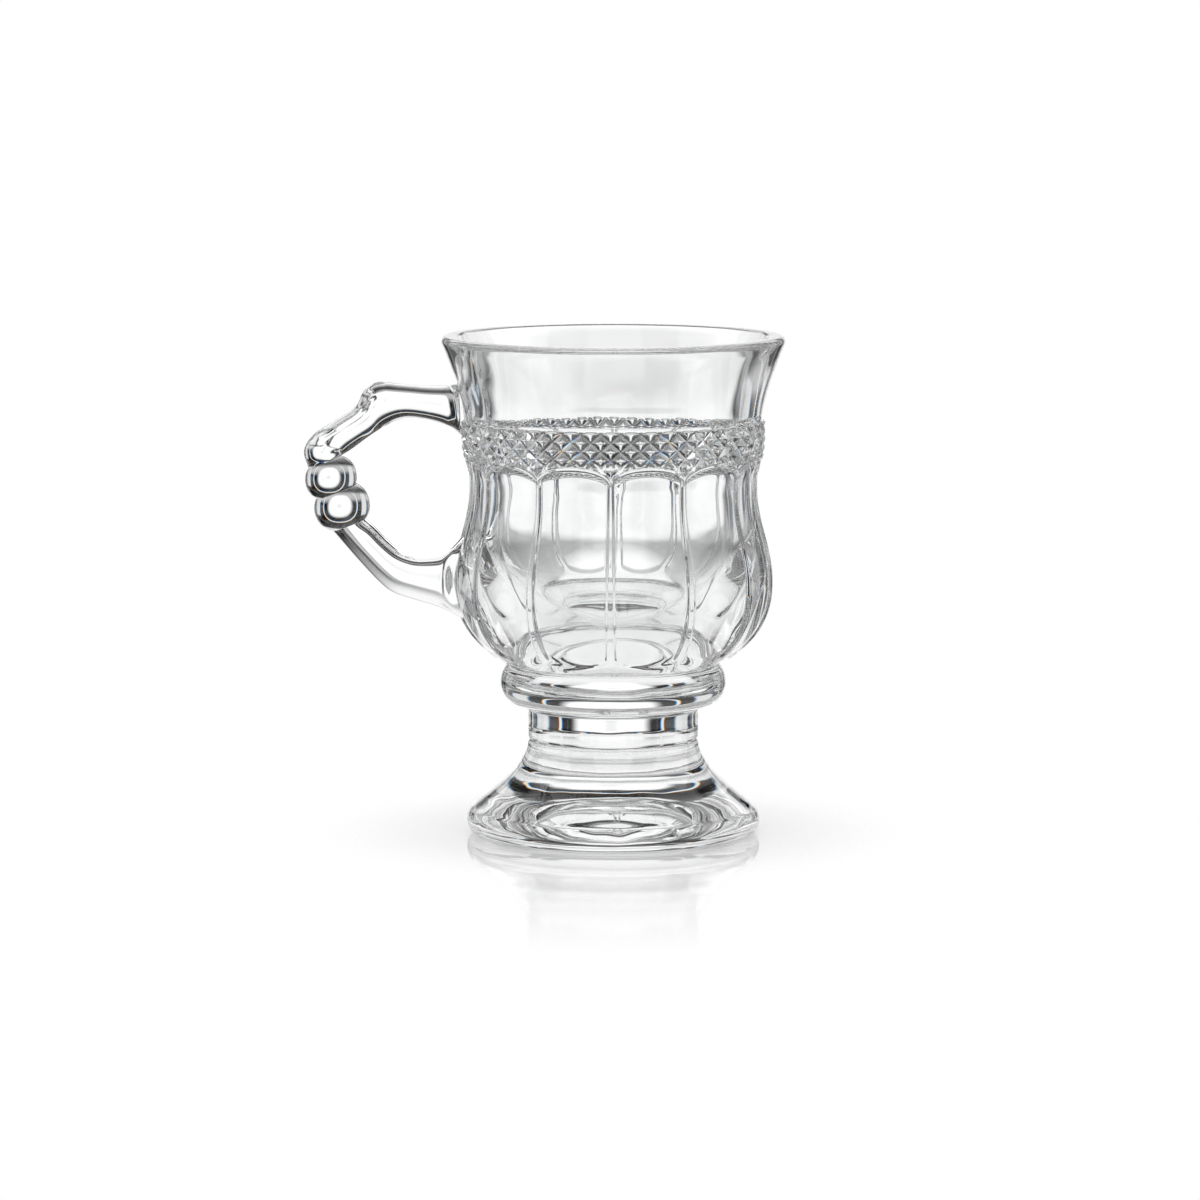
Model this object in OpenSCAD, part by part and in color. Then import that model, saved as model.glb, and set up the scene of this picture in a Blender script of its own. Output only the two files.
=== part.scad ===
// Footed tea glass in clear pressed glass. The bowl has arched flutes under a
// band of small diamonds and a flared lip. A knop collar, a short stem and a
// flaring foot carry it, and two arms with two beads between them make the handle.
// Millimetres, Z up, the origin on the table under the middle of the foot.

/* [Overall] */
// Height of the whole glass, from the table to the top of the lip
glass_h = 98; // [94:0.1:110]
// Radius of the rim
rim_r = 33.7; // [31:0.1:37]

/* [Foot] */
// Height of the foot, from the table to the crease under the stem
foot_h = 18.5; // [15:0.1:24]
// Largest radius of the foot
foot_r = 28.9; // [25:0.1:33]
// Height at which the foot is widest
foot_edge_h = 2.4; // [1.6:0.1:3.4]
// Height of the rounded edge, where the flare begins
foot_shoulder_h = 4.9; // [4:0.1:7]
// How far the start of the flare stands inside the widest radius
foot_shoulder_in = 0.8; // [0.4:0.1:1.6]
// How far the resting ring stands inside the widest radius
rest_in = 2.3; // [1.4:0.1:3.2]
// Width of the flat ring that the glass stands on
rest_w = 2.3; // [1.4:0.1:3.4]
// Depth of the hollow under the foot
hollow_h = 3.6; // [2:0.1:6]

/* [Stem] */
// Height of the stem
stem_h = 6.8; // [4:0.1:14]
// Radius of the stem
stem_r = 16.8; // [14:0.1:19]
// Depth of the crease between stem and foot
crease = 0.4; // [0.2:0.1:0.8]

/* [Collar] */
// Height of the knop collar
collar_h = 8.2; // [6:0.1:12]
// Largest radius of the collar
collar_r = 22.2; // [21:0.1:25]
// Height of its widest line above the stem
collar_mid = 4.2; // [3:0.1:5]
// How far the foot of the collar stands out over the stem
collar_step = 0.9; // [0.4:0.1:1.6]

/* [Bowl] */
// Radius of the bowl's foot, where it sits on the collar
base_r = 20.3; // [19:0.1:21]
// Largest radius of the bowl, over the flute ridges
belly_r = 31.3; // [29:0.1:34]
// Height of the belly above the collar
belly_h = 16.3; // [14:0.1:20]
// Radius of the waist above the belly
waist_r = 28.2; // [26.5:0.1:29]
// Rise from the belly to the waist
waist_rise = 18.4; // [15:0.1:24]
// Rise from the waist to the points between the arches
spring_rise = 2.6; // [1.5:0.1:5]
// Radius of the band of diamonds, halfway up their slopes
band_r = 29.4; // [28.6:0.1:30.5]
// Least radius of the neck above the band
neck_r = 29.1; // [27.5:0.1:29.5]
// Thickness of the lip
lip_t = 3.6; // [2.4:0.1:4.4]
// Rounding of the lip's two edges
lip_round = 1; // [0.6:0.1:1.2]
// Thickness of the neck's wall
neck_wall = 3.9; // [2.4:0.1:4.6]
// Thickness of the wall at the waist
bowl_wall = 4.2; // [3:0.1:4.8]
// Thickness of the bowl's floor
floor_t = 3; // [2.4:0.1:6]
// Height over which the inside rounds in from the wall to the floor
cup_round_h = 36; // [28:0.5:40]

/* [Flutes] */
// Number of flutes round the bowl
flutes = 12; // [10:2:14]
// Depth of a flute in its middle
flute_d = 0.7; // [0.6:0.1:1.2]
// Height of the ridges between the flutes
ridge_h = 0.6; // [0.4:0.1:1]
// Width of the ridge between two flutes, at its foot
ridge_foot_w = 1.4; // [1:0.1:2.4]
// Width of the ridge at its top, between the arches
ridge_top_w = 0.3; // [0.2:0.1:1.2]
// Width of each side of the ridge
flank_w = 0.5; // [0.4:0.1:1.2]
// Height of the lower end of a flute above the collar, in its middle
flute_foot_h = 1.2; // [0.6:0.1:3]
// Rise of the flute's rounded lower end from its middle to the ridges
flute_foot_rise = 3.4; // [2:0.1:5]
// Height over which a flute deepens from its lower end
flute_fade_h = 1.8; // [1.2:0.1:4]
// Height of the arch at the top of a flute
arch_h = 3; // [2:0.1:4]
// Width of the moulding along the arch
arch_edge = 0.5; // [0.4:0.1:1.4]

/* [Diamonds] */
// Height of half a diamond
diamond_h = 1.7; // [1.4:0.1:2.6]
// Number of rows of half diamonds
diamond_rows = 4; // [2:1:5]
// Height of a diamond's tip over the middle of its slopes
diamond_d = 0.5; // [0.2:0.05:0.6]
// Gap from the arch moulding to the lowest row
diamond_gap = 0.1; // [0.1:0.1:0.8]
// Height of the small step from the band to the neck
band_step_h = 0.5; // [0.3:0.1:0.9]

/* [Handle] */
// Thickness of the arms, seen from the side
arm_t = 6.7; // [5.4:0.1:7.4]
// Depth of the arms, front to back
arm_d = 7.2; // [5.6:0.1:8]
// Rounding along the arms' edges
arm_round = 2; // [1:0.1:2.4]
// Height of the upper joint on the neck above the band
upper_joint_h = 7; // [6:0.1:8]
// Height of the lower joint on the belly
lower_joint_h = 11.8; // [9:0.1:14]
// Distance of the shoulder from the middle of the glass
shoulder_reach = 46.8; // [44:0.1:49]
// Rise of the shoulder over the middle of the upper joint
shoulder_rise = 1.4; // [0:0.1:3]
// Swelling of the arm at the shoulder and above the beads
knuckle = 0.6; // [0:0.1:1]
// Distance of the upper bead from the middle of the glass
bead_reach = 55.4; // [53:0.1:59]
// Height of the upper bead above the belly
bead_rise = 20.1; // [18:0.1:22]
// Lean of the two beads, outwards at the top
bead_lean = 21; // [10:1:28]
// Largest radius of the upper bead
upper_bead_r = 5.2; // [4.4:0.1:6]
// Largest radius of the lower bead
lower_bead_r = 5.6; // [4.8:0.1:6.4]
// Height of the upper bead above its widest line
upper_bead_h = 3.4; // [2.6:0.1:3.8]
// Height of the two beads between their widest lines
bead_gap = 6; // [5:0.1:6.6]
// Height of the lower bead below its widest line
lower_bead_h = 3.9; // [3:0.1:4.2]
// Roundness of the beads: the distance of their curve's centre from their axis
bead_core = 1; // [0.6:0.1:1.2]

/* [Hidden] */
$fn = 96;
glass = [0.86, 0.92, 0.94];
tiny = 0.001;
quarter_turn = 90;
half_turn = 180;

function between(range, t) = range[0] + (range[1] - range[0]) * t;

// Heights at which the stacked pieces meet
stem_z = foot_h;
collar_z = stem_z + stem_h;
bowl_z = collar_z + collar_h;

// Heights on the bowl, measured from the collar
waist_z = belly_h + waist_rise;
spring_z = waist_z + spring_rise;
arch_z = spring_z + arch_h;
lattice_z = arch_z + arch_edge + diamond_gap;
band_z = lattice_z + diamond_rows * diamond_h;
neck_z = band_z + band_step_h;
lip_z = glass_h - bowl_z - lip_round;

// Flat pads on the bowl, where the arms of the handle join it. The upper pad
// takes in the topmost rows of diamonds.
pad_margin = 0.3;
pad_sink = 0.8;
pad_rows = 2;
upper_pad_x = neck_r + pad_margin;
upper_pad_z = [band_z - pad_rows * diamond_h, band_z + upper_joint_h];
lower_pad_x = belly_r - pad_sink;
lower_pad_z = [belly_h - lower_joint_h / 2, belly_h + lower_joint_h / 2];

// Foot: a flare that turns into a rounded edge, over a hollow underside
flare_power = 1.7;
curve_steps = 12;
edge_steps = 4;
shoulder_r = foot_r - foot_shoulder_in;
rest_r = foot_r - rest_in;
hollow_r = rest_r - rest_w;
function foot_hollow(t) = [hollow_r * t, hollow_h * (1 - t * t)];
function foot_edge_low(a) = [rest_r + rest_in * sin(a), foot_edge_h * (1 - cos(a))];
function foot_edge_high(t) =
    [foot_r - foot_shoulder_in * t * t, foot_edge_h + (foot_shoulder_h - foot_edge_h) * t];
function foot_flare(t) =
    [shoulder_r - (shoulder_r - stem_r) * (1 - pow(1 - t, flare_power)),
     foot_shoulder_h + (foot_h - crease - foot_shoulder_h) * t];

module foot() {
    color(glass) rotate_extrude() polygon(concat(
        [for (i = [0:curve_steps]) foot_hollow(i / curve_steps)],
        [for (i = [0:curve_steps]) foot_edge_low(quarter_turn * i / curve_steps)],
        [for (i = [1:edge_steps]) foot_edge_high(i / edge_steps)],
        [for (i = [1:curve_steps]) foot_flare(i / curve_steps)],
        [[stem_r - crease, foot_h], [0, foot_h]]));
}

// Stem: a short drum, creased at its foot and swelling under the collar
module stem() {
    color(glass) translate([0, 0, stem_z]) rotate_extrude() polygon([
        [0, 0], [stem_r - crease, 0], [stem_r, crease], [stem_r, stem_h - crease],
        [stem_r + crease, stem_h], [0, stem_h]]);
}

// Collar: a knop with a rounded edge, wider at the top than at the stem
collar_foot_r = stem_r + collar_step;
function collar_low(a) =
    [collar_foot_r + (collar_r - collar_foot_r) * sin(a), collar_mid * (1 - cos(a))];
function collar_high(a) =
    [base_r + (collar_r - base_r) * cos(a), collar_mid + (collar_h - collar_mid) * sin(a)];

module collar() {
    color(glass) translate([0, 0, collar_z]) rotate_extrude() polygon(concat(
        [[0, 0]],
        [for (i = [0:curve_steps]) collar_low(quarter_turn * i / curve_steps)],
        [for (i = [1:curve_steps]) collar_high(quarter_turn * i / curve_steps)],
        [[0, collar_h]]));
}

// Bowl, outside: radius over the ridges at a height above the collar
belly_power = 2.4;
belly_root = 1 / 1.3;
lip_power = 1.4;
band_swell = 0.7;
function clamp(t) = max(0, min(1, t));
function round_up(u, power, root) = pow(1 - pow(1 - clamp(u), power), root);
function flare(h, power) = pow(max(0, h - neck_z) / (lip_z - neck_z), power);
function drawn_in(h) =
    waist_r + (belly_r - waist_r) * (1 + cos(half_turn * clamp((h - belly_h) / waist_rise))) / 2;
function outer_r(h) =
    h < belly_h ? base_r + (belly_r - base_r) * round_up(h / belly_h, belly_power, belly_root) :
    h < spring_z ? drawn_in(h) :
    h <= band_z ? waist_r + (band_r - waist_r)
        * sin(quarter_turn * min(1, (h - spring_z) / (band_z - spring_z) / band_swell)) :
    neck_r + (rim_r - neck_r) * flare(h, lip_power);

// Bowl, inside: a cup with a long rounded bottom, which follows the waist and the neck
cup_power = 2.6;
cup_root = 0.45;
mouth_power = 1.75;
cup_r = neck_r - neck_wall;
waist_in_r = waist_r - bowl_wall;
function ease(t) = clamp(t) * clamp(t) * (3 - 2 * clamp(t));
function wall_in_r(h) =
    drawn_in(h) - bowl_wall + (cup_r - waist_in_r) * ease((h - waist_z) / (neck_z - waist_z));
function inner_r(h) =
    h > neck_z ? cup_r + (rim_r - lip_t - cup_r) * flare(h, mouth_power) :
    wall_in_r(h) * round_up((h - floor_t) / cup_round_h, cup_power, cup_root);

// Eight points across each flute: first the ridge, then its side, then the panel
points = 8;
flute_step = 2 * half_turn / flutes;
function ridge_w(h) = ridge_foot_w + (ridge_top_w - ridge_foot_w) * min(1, h / spring_z);
function ridge_a(h) = asin(ridge_w(h) / 2 / outer_r(h));
function flank_a(h) = ridge_a(h) + asin(flank_w / outer_r(h));
lower_pad_a = atan((arm_d / 2 + pad_margin) / lower_pad_x);
upper_pad_a = atan((arm_d / 2 + tiny) / upper_pad_x);
even_step = flute_step / points;
even_angles = [for (k = [0:points - 1]) k * even_step];
function flute_angles(h) =
    let (near_side = [ridge_a(h), flank_a(h), lower_pad_a])
    [0, each near_side, flute_step / 2, for (k = [2:-1:0]) flute_step - near_side[k]];
arch_angles = flute_angles(spring_z);
half_angles = (even_angles + arch_angles) / 2;

// Height of the arch over each of the eight points, and the panel under it
arch_power = 2.2;
arch_root = 0.6;
ridge_soft = 0.12;
function from_middle(k) = abs(arch_angles[k] - flute_step / 2) / (flute_step / 2);
function arch_at(k) = spring_z + arch_h * pow(1 - pow(from_middle(k), arch_power), arch_root);
function panel_d(k) =
    k == 0 ? 0 :
    k == 1 || k == points - 1 ? ridge_soft :
    ridge_h + (flute_d - ridge_h) * cos(quarter_turn * from_middle(k));
function flute_start(k) = flute_foot_h + flute_foot_rise * (1 - sqrt(1 - pow(from_middle(k), 2)));
function fluted_r(k, h) = outer_r(h) - panel_d(k) * ease((h - flute_start(k)) / flute_fade_h);

// A pad is the plane at distance x behind the axis, between two heights
function on_pad(a, h, pad_a, pad_z) =
    abs(a - half_turn) < pad_a + tiny && h > pad_z[0] - tiny && h < pad_z[1] + tiny;
function spot(a, r, h) = [r * cos(a), r * sin(a), h];
function lower_spot(a, r, h) =
    spot(a, on_pad(a, h, lower_pad_a, lower_pad_z) ? -lower_pad_x / cos(a) : r, h);
function upper_spot(a, r, h) =
    spot(a, on_pad(a, h, ceil(upper_pad_a / even_step) * even_step, upper_pad_z)
            ? -upper_pad_x / cos(a) : r, h);

// Rings of points: plain, fluted at one height, drawn up to the arch, and diamonds
function plain_ring(r, h) =
    [for (f = [0:flutes - 1], k = [0:points - 1]) spot(f * flute_step + even_angles[k], r, h)];
function neck_ring(h) =
    [for (f = [0:flutes - 1], k = [0:points - 1])
        upper_spot(f * flute_step + even_angles[k], outer_r(h), h)];
function fluted_ring(h) =
    [for (f = [0:flutes - 1], k = [0:points - 1])
        lower_spot(f * flute_step + flute_angles(h)[k], fluted_r(k, h), h)];
function arching_ring(t) =
    [for (f = [0:flutes - 1], k = [0:points - 1])
        let (h = between([lower_pad_z[1], arch_at(k)], t),
             a = flute_angles(between([lower_pad_z[1], spring_z], t))[k])
        spot(f * flute_step + a, fluted_r(k, h), h)];
function moulding_ring(angles, rise) =
    [for (f = [0:flutes - 1], k = [0:points - 1])
        let (h = arch_at(k) + rise) spot(f * flute_step + angles[k], outer_r(h), h)];
function is_tip(k, row) = (k + row) % 2 == 0;
function diamond_ring(row) =
    [for (f = [0:flutes - 1], k = [0:points - 1])
        let (h = lattice_z + row * diamond_h)
        upper_spot(f * flute_step + even_angles[k],
                   outer_r(h) + (is_tip(k, row) ? diamond_d : -diamond_d), h)];

foot_rows = [0, 0.05, 0.12, 0.22, 0.36, 0.54, 0.76];
joint_rows = [0, 1 / 3, 2 / 3];
arch_rows = [0, 0.18, 0.36, 0.54, 0.72, 0.88, 1];
neck_rows = [0, 1 / 2, 1];
flare_rows = [1 / 3, 2 / 3];
edge_angles = [0, 45, 90];
mouth_rows = [0.75, 0.5, 0.25, 0];
wall_rows = [2 / 3, 1 / 3, 0];
round_rows = [0.88, 0.76, 0.64, 0.52, 0.41, 0.31, 0.22, 0.14, 0.08, 0.035, 0.01];
cup_round_z = floor_t + cup_round_h;
function lip_edge(mid_r, a) = plain_ring(mid_r + lip_round * cos(a), lip_z + lip_round * sin(a));
inner_heights = concat(
    [for (t = mouth_rows) between([neck_z, lip_z], t)],
    [for (t = wall_rows) between([cup_round_z, neck_z], t)],
    [for (t = round_rows) between([floor_t, cup_round_z], t)]);

low_rings = concat(
    [for (t = foot_rows) fluted_ring(lower_pad_z[0] * t)],
    [for (t = joint_rows) fluted_ring(between(lower_pad_z, t))],
    [fluted_ring(lower_pad_z[1])],
    [for (t = arch_rows) if (t > 0) arching_ring(t)],
    [moulding_ring(arch_angles, arch_edge / 4), moulding_ring(half_angles, arch_edge)]);
first_diamond = len(low_rings);
rings = concat(
    low_rings,
    [for (row = [0:diamond_rows]) diamond_ring(row)],
    [for (t = neck_rows) neck_ring(between([neck_z, upper_pad_z[1]], t))],
    [for (t = flare_rows) neck_ring(between([upper_pad_z[1], lip_z], t))],
    [for (a = edge_angles) lip_edge(rim_r - lip_round, a)],
    [for (a = edge_angles) lip_edge(rim_r - lip_t + lip_round, a + quarter_turn)],
    [for (h = inner_heights) plain_ring(inner_r(h), h)]);

// Facets between neighbouring rings. Among the diamonds they fold along the grooves.
around = flutes * points;
function corner(i, row) = row * around + i % around;
function folds_back(i, row) =
    row >= first_diamond && row < first_diamond + diamond_rows
        ? is_tip(i, row - first_diamond)
        : i % points >= points / 2;
function cell(i, row) =
    let (a = corner(i, row), b = corner(i + 1, row), c = corner(i + 1, row + 1), d = corner(i, row + 1))
    folds_back(i, row) ? [[a, d, b], [b, d, c]] : [[a, d, c], [a, c, b]];

module bowl() {
    last = len(rings) - 1;
    foot_point = len(rings) * around;
    floor_point = foot_point + 1;
    corners = concat([for (ring = rings) each ring], [[0, 0, 0], [0, 0, floor_t]]);
    facets = concat(
        [for (row = [0:last - 1], i = [0:around - 1]) each cell(i, row)],
        [for (i = [0:around - 1]) [foot_point, corner(i, 0), corner(i + 1, 0)]],
        [for (i = [0:around - 1]) [floor_point, corner(i + 1, last), corner(i, last)]]);
    color(glass) translate([0, 0, bowl_z]) polyhedron(corners, facets);
}

// Handle: places are [distance behind the axis, height]
lean_up = [sin(bead_lean), cos(bead_lean)];
upper_bead = [bead_reach, bowl_z + belly_h + bead_rise];
lower_bead = upper_bead - bead_gap * lean_up;
stack_top = upper_bead + upper_bead_h * lean_up;
stack_foot = lower_bead - lower_bead_h * lean_up;
bead_share = upper_bead_r / (upper_bead_r + lower_bead_r);
bead_seam = bead_gap * bead_share;
function bead_width(r, h) = bead_core + sqrt(pow(r - bead_core, 2) - h * h);

// A bead is turned about the leaning axis and cut flat at both ends
module bead(place, r, below, above) {
    steps = 16;
    translate([-place[0], 0, place[1]]) rotate([0, -bead_lean, 0]) rotate_extrude()
        polygon(concat(
            [[0, -below]],
            [for (i = [0:steps]) let (h = -below + (below + above) * i / steps) [bead_width(r, h), h]],
            [[0, above]]));
}

module handle_upper_bead() {
    color(glass) bead(upper_bead, upper_bead_r, bead_seam, upper_bead_h);
}

module handle_lower_bead() {
    color(glass) bead(lower_bead, lower_bead_r, lower_bead_h, bead_gap - bead_seam);
}

// An arm is swept along Bezier curves in the upright plane through the handle
function bezier(p, t) =
    pow(1 - t, 3) * p[0] + 3 * t * pow(1 - t, 2) * p[1] + 3 * t * t * (1 - t) * p[2] + t * t * t * p[3];
function heading(p, t) =
    let (d = pow(1 - t, 2) * (p[1] - p[0]) + 2 * t * (1 - t) * (p[2] - p[1]) + t * t * (p[3] - p[2]))
    d / norm(d);
function bell(x) = exp(-x * x);

// One ring of an arm: a rectangle with rounded corners, square to the curve
corner_steps = [0, 45, 90];
function arm_section(place, along, half_t, half_d) =
    let (side = [-along[1], along[0]], rounding = min(arm_round, half_t - tiny, half_d - tiny))
    [for (quarter = [0:3], a = corner_steps)
        let (turn = quarter * quarter_turn,
             u = (half_t - rounding) * (quarter == 0 || quarter == 3 ? 1 : -1) + rounding * cos(turn + a),
             v = (half_d - rounding) * (quarter < 2 ? 1 : -1) + rounding * sin(turn + a))
        [-(place[0] + side[0] * u), v, place[1] + side[1] * u]];

module swept_arm(sections) {
    sides = len(sections[0]);
    last = len(sections) - 1;
    sweep_sides = [for (row = [0:last - 1], i = [0:sides - 1])
        let (a = row * sides + i, b = row * sides + (i + 1) % sides)
        each [[a, b, b + sides], [a, b + sides, a + sides]]];
    near_end = [[for (i = [sides - 1:-1:0]) i]];
    far_end = [[for (i = [0:sides - 1]) last * sides + i]];
    polyhedron([for (section = sections) each section], concat(sweep_sides, near_end, far_end));
}

// Upper arm: out from the neck to the shoulder, then down to the upper bead
upper_root = [upper_pad_x, bowl_z + (upper_pad_z[0] + upper_pad_z[1]) / 2];
shoulder = [shoulder_reach, upper_root[1] + shoulder_rise];
shoulder_slope = 22;
shoulder_way = [cos(shoulder_slope), -sin(shoulder_slope)];
root_pull = 8;
shoulder_pull = 4;
drop_pull = 5.5;
bead_pull = 4;
upper_out = [upper_root, upper_root + [root_pull, 0], shoulder - shoulder_pull * shoulder_way, shoulder];
upper_down = [shoulder, shoulder + drop_pull * shoulder_way, stack_top + bead_pull * lean_up, stack_top];
upper_root_t = (upper_pad_z[1] - upper_pad_z[0]) / 2 - pad_margin;
upper_end_t = bead_width(upper_bead_r, upper_bead_h);
out_steps = 9;
down_steps = 12;
root_reach = 0.55;
shoulder_spread = 0.14;
knuckle_at = 0.72;
knuckle_spread = 0.16;
function out_t(t) = arm_t / 2 + (upper_root_t - arm_t / 2) * pow(max(0, 1 - t / root_reach), 2)
    + knuckle * bell((1 - t) / shoulder_spread);
function down_t(t) = arm_t / 2 + (upper_end_t - arm_t / 2) * t * t * t
    + knuckle * bell(t / shoulder_spread) + knuckle * bell((t - knuckle_at) / knuckle_spread) * (1 - t * t * t);

module handle_upper_arm() {
    color(glass) swept_arm(concat(
        [for (i = [0:out_steps]) let (t = i / out_steps)
            arm_section(bezier(upper_out, t), heading(upper_out, t), out_t(t), arm_d / 2)],
        [for (i = [1:down_steps]) let (t = i / down_steps)
            arm_section(bezier(upper_down, t), heading(upper_down, t), down_t(t),
                        arm_d / 2 + (upper_end_t - arm_d / 2) * t * t * t)]));
}

// Lower arm: from the lower bead down and in to the belly
lower_root = [lower_pad_x, bowl_z + belly_h];
stack_pull = 6;
belly_pull = 9;
lower_in = [stack_foot, stack_foot - stack_pull * lean_up, lower_root + [belly_pull, 0], lower_root];
lower_root_t = lower_joint_h / 2 - pad_margin / 3;
lower_end_t = bead_width(lower_bead_r, lower_bead_h);
in_steps = 16;
function in_t(t) = arm_t / 2 + (lower_end_t - arm_t / 2) * pow(1 - t, 3)
    + (lower_root_t - arm_t / 2) * t * t * t;
function in_d(t) = arm_d / 2 + (lower_end_t - arm_d / 2) * pow(1 - t, 3);

module handle_lower_arm() {
    color(glass) swept_arm(
        [for (i = [0:in_steps]) let (t = i / in_steps)
            arm_section(bezier(lower_in, t), heading(lower_in, t), in_t(t), in_d(t))]);
}

foot();
stem();
collar();
bowl();
handle_upper_arm();
handle_upper_bead();
handle_lower_bead();
handle_lower_arm();
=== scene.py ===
import math
import bpy
import numpy as np
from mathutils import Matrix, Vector
from mathutils.bvhtree import BVHTree


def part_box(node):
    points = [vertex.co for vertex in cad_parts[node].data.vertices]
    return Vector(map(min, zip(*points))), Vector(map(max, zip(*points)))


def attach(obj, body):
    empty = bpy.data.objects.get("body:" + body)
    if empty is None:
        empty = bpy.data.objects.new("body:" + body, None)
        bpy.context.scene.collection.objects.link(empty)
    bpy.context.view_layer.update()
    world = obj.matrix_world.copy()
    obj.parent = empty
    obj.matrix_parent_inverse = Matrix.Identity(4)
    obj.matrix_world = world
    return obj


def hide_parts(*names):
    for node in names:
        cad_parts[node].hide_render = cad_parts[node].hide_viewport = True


# Footed tea glass in clear pressed glass. Shapes are worked out in millimetres and
# put into the frame in metres: Z up, the table at zero, the handle towards -X.
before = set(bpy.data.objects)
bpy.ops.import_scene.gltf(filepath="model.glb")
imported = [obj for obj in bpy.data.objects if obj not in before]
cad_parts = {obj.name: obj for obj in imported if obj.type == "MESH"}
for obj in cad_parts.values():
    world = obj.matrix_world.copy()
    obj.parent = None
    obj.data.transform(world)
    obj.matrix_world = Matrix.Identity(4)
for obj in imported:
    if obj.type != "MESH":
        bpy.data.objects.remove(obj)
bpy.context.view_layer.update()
mm = 0.001


def nodeBox(node):
    low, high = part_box(node)
    return low / mm, high / mm


footHigh = nodeBox("foot")[1]
stemLow, stemHigh = nodeBox("stem")
collarLow, collarHigh = nodeBox("collar")
bowlLow, bowlHigh = nodeBox("bowl")
print("frame loaded:", len(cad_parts), "nodes")


# Finish of the glass: one tint for all, with ripples that differ from place to place

glassLook = {"ior": 1.52, "tintLow": (0.945, 0.952, 0.952, 1.0), "tintHigh": (0.975, 0.98, 0.98, 1.0),
             "rippleDetail": 1.0}
# how many ripples to a metre, and their depth in millimetres
rippleForm = {"clearGlass": (80.0, 0.05), "footGlass": (120.0, 0.14), "innerGlass": (70.0, 0.3)}


def makeGlassGroup():
    group = bpy.data.node_groups.new("pressedGlassSurface", "ShaderNodeTree")
    face = group.interface
    for label in ("Ripple Size", "Ripple Depth"):
        face.new_socket(label, in_out="INPUT", socket_type="NodeSocketFloat")
    face.new_socket("Tint", in_out="OUTPUT", socket_type="NodeSocketColor")
    face.new_socket("Height", in_out="OUTPUT", socket_type="NodeSocketFloat")
    nodes, links = group.nodes, group.links
    given = nodes.new("NodeGroupInput")
    result = nodes.new("NodeGroupOutput")
    coordinates = nodes.new("ShaderNodeTexCoord")
    ripple = nodes.new("ShaderNodeTexNoise")  # soft waves left by the mould
    ripple.inputs["Detail"].default_value = glassLook["rippleDetail"]
    links.new(coordinates.outputs["Object"], ripple.inputs["Vector"])
    links.new(given.outputs["Ripple Size"], ripple.inputs["Scale"])
    depth = nodes.new("ShaderNodeMath")
    depth.operation = "MULTIPLY"
    links.new(ripple.outputs["Fac"], depth.inputs[0])
    links.new(given.outputs["Ripple Depth"], depth.inputs[1])
    links.new(depth.outputs["Value"], result.inputs["Height"])
    tint = nodes.new("ShaderNodeMix")
    tint.data_type = "RGBA"
    tint.inputs["A"].default_value = glassLook["tintLow"]
    tint.inputs["B"].default_value = glassLook["tintHigh"]
    links.new(ripple.outputs["Fac"], tint.inputs["Factor"])
    links.new(tint.outputs["Result"], result.inputs["Tint"])
    return group


glassGroup = makeGlassGroup()


def makeGlass(name):
    material = bpy.data.materials.new(name)
    material.use_nodes = True
    nodes, links = material.node_tree.nodes, material.node_tree.links
    shader = nodes["Principled BSDF"]
    shader.inputs["Metallic"].default_value = 0.0
    shader.inputs["Roughness"].default_value = 0.0  # fire polished
    shader.inputs["Transmission Weight"].default_value = 1.0
    shader.inputs["IOR"].default_value = glassLook["ior"]
    surface = nodes.new("ShaderNodeGroup")
    surface.node_tree = glassGroup
    for label, value in zip(("Ripple Size", "Ripple Depth"), rippleForm[name]):
        surface.inputs[label].default_value = value
    bump = nodes.new("ShaderNodeBump")
    bump.inputs["Strength"].default_value = 1.0
    bump.inputs["Distance"].default_value = mm
    links.new(surface.outputs["Tint"], shader.inputs["Base Color"])
    links.new(surface.outputs["Height"], bump.inputs["Height"])
    links.new(bump.outputs["Normal"], shader.inputs["Normal"])
    return material


def makeWeld():
    material = bpy.data.materials.new("hotWeld")  # where two pieces are fused, so nothing shows
    material.use_nodes = True
    shader = material.node_tree.nodes["Principled BSDF"]
    shader.inputs["Base Color"].default_value = (1.0, 1.0, 1.0, 1.0)
    shader.inputs["Alpha"].default_value = 0.0
    return material


clearGlass, footGlass, innerGlass = [makeGlass(name) for name in rippleForm]
weld = makeWeld()
print("materials ready")


# Meshes from rings of points

def skinRings(name, rings, finishes, rowFinish=None, poles=(None, None), poleFinish=(0, 0), folds=None):
    count = len(rings[0])
    points = list(np.concatenate([np.asarray(ring, float) for ring in rings]))
    faces = []
    indices = []
    for row in range(len(rings) - 1):
        low = row * count
        high = low + count
        fold = folds.get(row) if folds else None
        made = len(faces)
        for i in range(count):
            j = (i + 1) % count
            if fold is None:
                faces.append((low + i, low + j, high + j, high + i))
            elif fold[i]:
                faces += [(low + i, low + j, high + i), (low + j, high + j, high + i)]
            else:
                faces += [(low + i, low + j, high + j), (low + i, high + j, high + i)]
        indices += [rowFinish[row] if rowFinish else 0] * (len(faces) - made)
    for end, pole in enumerate(poles):
        if pole is None:
            continue
        hub = len(points)
        points.append(np.asarray(pole, float))
        first = 0 if end == 0 else (len(rings) - 1) * count
        for i in range(count):
            j = (i + 1) % count
            faces.append((hub, first + j, first + i) if end == 0 else (hub, first + i, first + j))
        indices += [poleFinish[end]] * count
    mesh = bpy.data.meshes.new(name)
    mesh.from_pydata([tuple(point * mm) for point in points], [], faces)
    for material in finishes:
        mesh.materials.append(material)
    mesh.polygons.foreach_set("material_index", np.array(indices, np.int32))
    mesh.validate()
    return finishMesh(name, mesh)


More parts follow.
